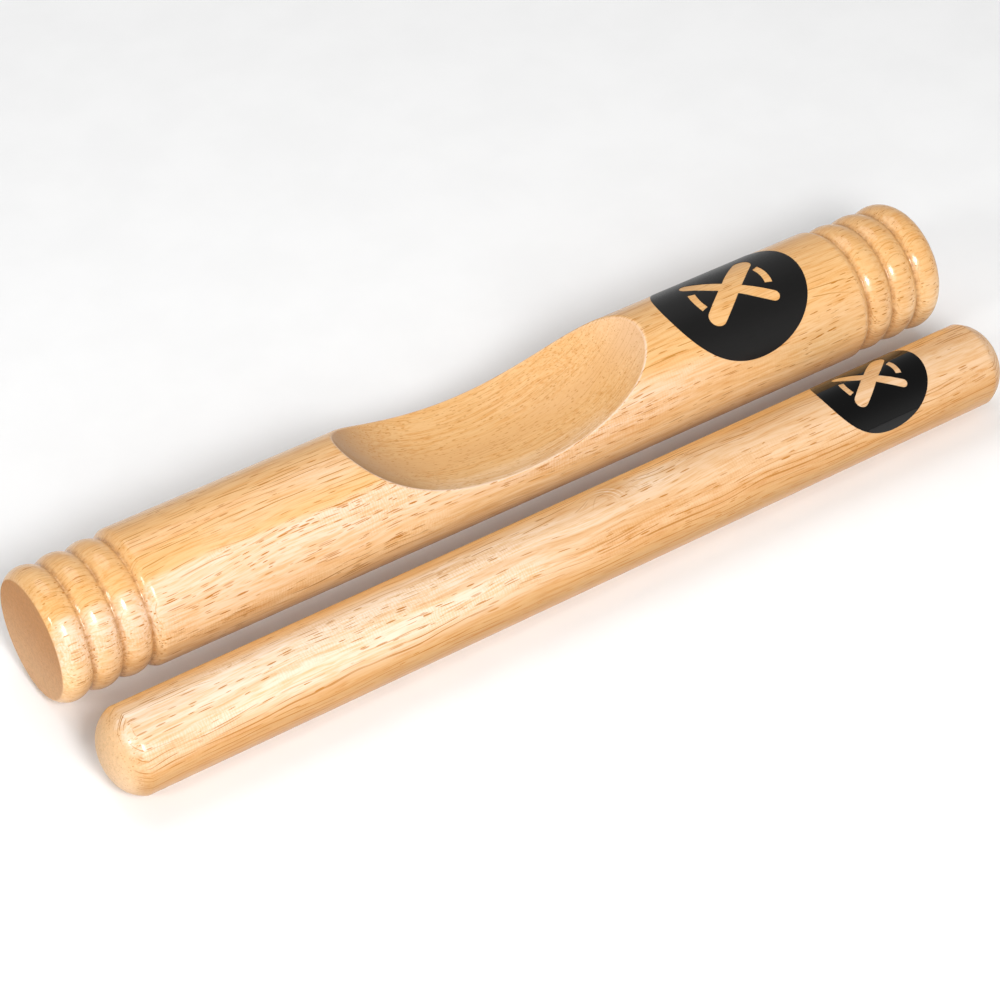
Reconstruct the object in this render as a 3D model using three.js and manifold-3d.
// A pair of wooden claves lying side by side, in millimetres, +Z up.
// The scooped clave lies along X with its hollow facing up. It is the one that is held and rings.
// The slimmer striker clave lies beside it on the -Y side. Each has a round printed badge near its +X end.
// The origin is the middle of the pair's footprint, on the surface that both sticks lie on.
import * as THREE from "three";
import { mergeVertices } from "three/addons/utils/BufferGeometryUtils.js";
import Module from "manifold-3d";

const wasm = await Module();
wasm.setup();
const radians = THREE.MathUtils.degToRad;

// Driving dimensions of the scooped clave
const CLAVE_RADIUS = 19;
const CLAVE_LENGTH = 280.8;
const END_FACE_RADIUS = 16.45; // the flat turned face at each end
const BEAD_COUNT = 3; // turned beads at each end
const BEAD_PITCH = 8.6;
const BEAD_CREST_RADIUS = 18.55;
const GROOVE_RADIUS = 16.95;
const SHOULDER_LENGTH = 3.1; // from the last groove up to the barrel
const SHOULDER_CURVE = 1.8; // power of the curve that the shoulder follows

// Driving dimensions of the scoop, a hollow across the top of the scooped clave
const SCOOP_HALF_LENGTH = 49.4; // of the ellipse that the cutter follows
const SCOOP_ELLIPSE_HEIGHT = 26.4;
const SCOOP_FLOOR_HEIGHT = 0.4; // lowest point of the hollow, above the stick's axis
const SCOOP_EDGE_RISE = 2.4; // the floor is this much higher at its two long edges than in the middle
const SCOOP_EDGE_REACH = 18.7; // half the hollow's width at those edges
const SCOOP_PLACE = -0.8; // from the stick's middle towards +X
const SCOOP_TURN = radians(-1.9); // from the top towards -Y, as the stick lies

// Driving dimensions of the striker clave
const STRIKER_RADIUS = 12.05;
const STRIKER_LENGTH = 282.4;
const DOME_SHOULDER_RADIUS = 10.1; // rounding between the barrel and the cap of each end
const DOME_CAP_RADIUS = 16;
const DOME_START_ANGLE = 0.35; // the rounding meets the barrel at this angle, in radians
// Its middle, from the surface under the scooped clave's middle
const STRIKER_SHIFT = new THREE.Vector3(-2.05, -40.85, STRIKER_RADIUS);
const STRIKER_YAW = radians(0.31);

// Driving dimensions of the printed badges, measured along the curved surface
const CLAVE_BADGE_RADIUS = 22.2;
const CLAVE_BADGE_PLACE = 76.9; // from the stick's middle towards +X
const CLAVE_BADGE_TURN = radians(4); // from the top towards -Y
const STRIKER_BADGE_RADIUS = 16.6;
const STRIKER_BADGE_PLACE = 98;
const STRIKER_BADGE_TURN = radians(1);
const FILM_THICKNESS = 0.15;
const FILM_GAP = 0.05;

const RADIAL_STEPS = 64;
const HALF_BEAD_STEPS = 4;
const SHOULDER_STEPS = 3;
const ARC_STEPS = 6;
const SCOOP_LENGTH_STEPS = 96;
const SCOOP_WIDTH_STEPS = 10;
const BADGE_OUTLINE_STEPS = 48;
const ROD_END_STEPS = 8;

// A closed geometry as a solid that can be cut.
function solidOf(geometry) {
  const bare = geometry.clone();
  bare.deleteAttribute("normal");
  bare.deleteAttribute("uv");
  const merged = mergeVertices(bare, 1e-4);
  const vertProperties = new Float32Array(merged.attributes.position.array);
  const triVerts = new Uint32Array(merged.index.array);
  return new wasm.Manifold(new wasm.Mesh({ numProp: 3, vertProperties, triVerts }));
}

// A cut solid as a geometry again.
function geometryOf(solid) {
  const mesh = solid.getMesh();
  const geometry = new THREE.BufferGeometry();
  geometry.setAttribute("position", new THREE.BufferAttribute(new Float32Array(mesh.vertProperties), 3));
  geometry.setIndex(new THREE.BufferAttribute(new Uint32Array(mesh.triVerts), 1));
  geometry.computeVertexNormals();
  return geometry;
}

// A turned stick along X. Its end is a list of [distance from the tip, radius] that starts on the axis,
// and the other end mirrors it.
function turnedStick(length, end) {
  const half = length / 2;
  const start = end.map(([along, radius]) => new THREE.Vector2(radius, along - half));
  const finish = end.map(([along, radius]) => new THREE.Vector2(radius, half - along)).reverse();
  return new THREE.LatheGeometry([...start, ...finish], RADIAL_STEPS).rotateZ(-Math.PI / 2);
}

// Points of the circular arc that falls by drop within reach of a bead's crest, as [share of reach, fall].
function fallingArc(reach, drop) {
  const arcRadius = (reach ** 2 + drop ** 2) / (2 * drop);
  const arc = [];
  for (let step = 0; step <= HALF_BEAD_STEPS; step++) {
    const share = step / HALF_BEAD_STEPS;
    arc.push([share, arcRadius - Math.sqrt(arcRadius ** 2 - (share * reach) ** 2)]);
  }
  return arc;
}

// The beaded end of the scooped clave, from its flat face to where the barrel starts.
function beadedEnd() {
  const reach = BEAD_PITCH / 2;
  const end = [
    [0, 0],
    [0, END_FACE_RADIUS],
  ];
  for (let bead = 0; bead < BEAD_COUNT; bead++) {
    const crest = BEAD_PITCH * bead + reach;
    const startRadius = bead === 0 ? END_FACE_RADIUS : GROOVE_RADIUS;
    const rising = fallingArc(reach, BEAD_CREST_RADIUS - startRadius).reverse().slice(1);
    const falling = fallingArc(reach, BEAD_CREST_RADIUS - GROOVE_RADIUS).slice(1);
    for (const [share, fall] of rising) {
      end.push([crest - share * reach, BEAD_CREST_RADIUS - fall]);
    }
    for (const [share, fall] of falling) {
      end.push([crest + share * reach, BEAD_CREST_RADIUS - fall]);
    }
  }
  for (let step = 1; step <= SHOULDER_STEPS; step++) {
    const share = step / SHOULDER_STEPS;
    const fall = (CLAVE_RADIUS - GROOVE_RADIUS) * (1 - share) ** SHOULDER_CURVE;
    end.push([BEAD_PITCH * BEAD_COUNT + SHOULDER_LENGTH * share, CLAVE_RADIUS - fall]);
  }
  return end;
}

// The domed end of the striker: a cap arc centred on the axis, then a tighter arc that meets the barrel.
function domedEnd() {
  const shoulderCentre = STRIKER_RADIUS - DOME_SHOULDER_RADIUS * Math.cos(DOME_START_ANGLE);
  const centreGap = Math.sqrt((DOME_CAP_RADIUS - DOME_SHOULDER_RADIUS) ** 2 - shoulderCentre ** 2);
  const joinAngle = Math.atan2(shoulderCentre, centreGap);
  const end = [];
  for (let step = 0; step <= ARC_STEPS; step++) {
    const angle = (joinAngle * step) / ARC_STEPS;
    end.push([DOME_CAP_RADIUS * (1 - Math.cos(angle)), DOME_CAP_RADIUS * Math.sin(angle)]);
  }
  const endAngle = Math.PI / 2 - DOME_START_ANGLE;
  for (let step = 1; step <= ARC_STEPS; step++) {
    const angle = THREE.MathUtils.lerp(joinAngle, endAngle, step / ARC_STEPS);
    const along = DOME_CAP_RADIUS - centreGap - DOME_SHOULDER_RADIUS * Math.cos(angle);
    end.push([along, shoulderCentre + DOME_SHOULDER_RADIUS * Math.sin(angle)]);
  }
  return end;
}

// The tool that leaves the scoop: a drum on an axis across the clave, fuller in the middle of its width.
function scoopCutter() {
  const reach = CLAVE_RADIUS + 2;
  const profile = [new THREE.Vector2(0, -reach)];
  for (let step = 0; step <= SCOOP_WIDTH_STEPS; step++) {
    const across = THREE.MathUtils.lerp(-reach, reach, step / SCOOP_WIDTH_STEPS);
    const rise = SCOOP_EDGE_RISE * (across / SCOOP_EDGE_REACH) ** 2;
    profile.push(new THREE.Vector2(SCOOP_HALF_LENGTH * (1 - rise / SCOOP_ELLIPSE_HEIGHT), across));
  }
  profile.push(new THREE.Vector2(0, reach));
  const drum = new THREE.LatheGeometry(profile, SCOOP_LENGTH_STEPS);
  drum.scale(1, 1, SCOOP_ELLIPSE_HEIGHT / SCOOP_HALF_LENGTH);
  return drum.translate(SCOOP_PLACE, 0, SCOOP_FLOOR_HEIGHT + SCOOP_ELLIPSE_HEIGHT).rotateX(SCOOP_TURN);
}

// A prism down through the stick, whose outline is a flat drawing laid on the curved surface.
// The drawing's points hold [along the stick, around the surface] from the badge's middle.
function wrappedPrism(drawing, stickRadius) {
  const plan = drawing.map(([along, around]) => {
    return new THREE.Vector2(along, stickRadius * Math.sin(around / stickRadius));
  });
  return new THREE.ExtrudeGeometry(new THREE.Shape(plan), { depth: 2 * stickRadius, bevelEnabled: false });
}

function discDrawing(radius) {
  const points = [];
  for (let step = 0; step < BADGE_OUTLINE_STEPS; step++) {
    const angle = (2 * Math.PI * step) / BADGE_OUTLINE_STEPS;
    points.push([radius * Math.cos(angle), radius * Math.sin(angle)]);
  }
  return points;
}

// A rod with round ends through the badge's middle.
function rodDrawing(halfLength, halfWidth, angle) {
  const points = [];
  for (const end of [0, Math.PI]) {
    const tip = angle + end;
    for (let step = 0; step <= ROD_END_STEPS; step++) {
      const turn = tip - Math.PI / 2 + (Math.PI * step) / ROD_END_STEPS;
      points.push([
        halfLength * Math.cos(tip) + halfWidth * Math.cos(turn),
        halfLength * Math.sin(tip) + halfWidth * Math.sin(turn),
      ]);
    }
  }
  return points;
}

// A short curved stripe round the badge's middle, centred on an angle.
function stripeDrawing(innerRadius, outerRadius, angle, halfSpread) {
  const points = [];
  for (let step = 0; step <= ROD_END_STEPS; step++) {
    const turn = angle + THREE.MathUtils.lerp(-halfSpread, halfSpread, step / ROD_END_STEPS);
    points.push([outerRadius * Math.cos(turn), outerRadius * Math.sin(turn)]);
  }
  for (let step = ROD_END_STEPS; step >= 0; step--) {
    const turn = angle + THREE.MathUtils.lerp(-halfSpread, halfSpread, step / ROD_END_STEPS);
    points.push([innerRadius * Math.cos(turn), innerRadius * Math.sin(turn)]);
  }
  return points;
}

// The parts of the badge left unprinted: a thick rod crossed by a thin one, and a sound stripe at each side.
function emblemDrawings(radius) {
  return [
    rodDrawing(0.52 * radius, 0.12 * radius, radians(-38)),
    rodDrawing(0.56 * radius, 0.075 * radius, radians(38)),
    stripeDrawing(0.46 * radius, 0.56 * radius, 0, radians(17)),
    stripeDrawing(0.46 * radius, 0.56 * radius, Math.PI, radians(17)),
  ];
}

// The printed film, a round piece of a thin shell round the top of the stick.
function badgeFilm(radius, stickRadius) {
  const inner = stickRadius + FILM_GAP;
  const outer = inner + FILM_THICKNESS;
  const reach = radius + 1;
  const corners = [
    [inner, -reach],
    [outer, -reach],
    [outer, reach],
    [inner, reach],
    [inner, -reach],
  ];
  const profile = corners.map(([across, along]) => new THREE.Vector2(across, along));
  const shell = new THREE.LatheGeometry(profile, RADIAL_STEPS).rotateZ(-Math.PI / 2);
  let film = solidOf(shell).intersect(solidOf(wrappedPrism(discDrawing(radius), stickRadius)));
  for (const drawing of emblemDrawings(radius)) {
    film = film.subtract(solidOf(wrappedPrism(drawing, stickRadius)));
  }
  return geometryOf(film);
}

function mesh(name, geometry, color, roughness) {
  const made = new THREE.Mesh(geometry, new THREE.MeshStandardMaterial({ color, roughness, metalness: 0 }));
  made.name = name;
  return made;
}

// The scooped clave and its badge, with the stick's axis at its own radius above the surface.
function scoopedClave() {
  const clave = new THREE.Group();
  const stick = solidOf(turnedStick(CLAVE_LENGTH, beadedEnd())).subtract(solidOf(scoopCutter()));
  clave.add(mesh("scooped_clave", geometryOf(stick), 0xeec591, 0.3));
  const badge = mesh("scooped_clave_badge", badgeFilm(CLAVE_BADGE_RADIUS, CLAVE_RADIUS), 0x1b1717, 0.35);
  badge.position.x = CLAVE_BADGE_PLACE;
  badge.rotation.x = CLAVE_BADGE_TURN;
  clave.add(badge);
  clave.position.z = CLAVE_RADIUS;
  return clave;
}

// The striker clave and its badge, turned a little from the other stick as it lies.
function strikerClave() {
  const striker = new THREE.Group();
  striker.add(mesh("striker_clave", turnedStick(STRIKER_LENGTH, domedEnd()), 0xf2cf9f, 0.3));
  const badge = mesh("striker_clave_badge", badgeFilm(STRIKER_BADGE_RADIUS, STRIKER_RADIUS), 0x14110f, 0.25);
  badge.position.x = STRIKER_BADGE_PLACE;
  badge.rotation.x = STRIKER_BADGE_TURN;
  striker.add(badge);
  striker.position.copy(STRIKER_SHIFT);
  striker.rotation.z = STRIKER_YAW;
  return striker;
}

// Both sticks, moved together so that the middle of their footprint is at the origin.
function clavesPair() {
  const pair = new THREE.Group();
  pair.add(scoopedClave(), strikerClave());
  const extent = new THREE.Box3().setFromObject(pair, true);
  const middle = extent.getCenter(new THREE.Vector3());
  pair.position.set(-middle.x, -middle.y, -extent.min.z);
  return pair;
}

export default clavesPair();
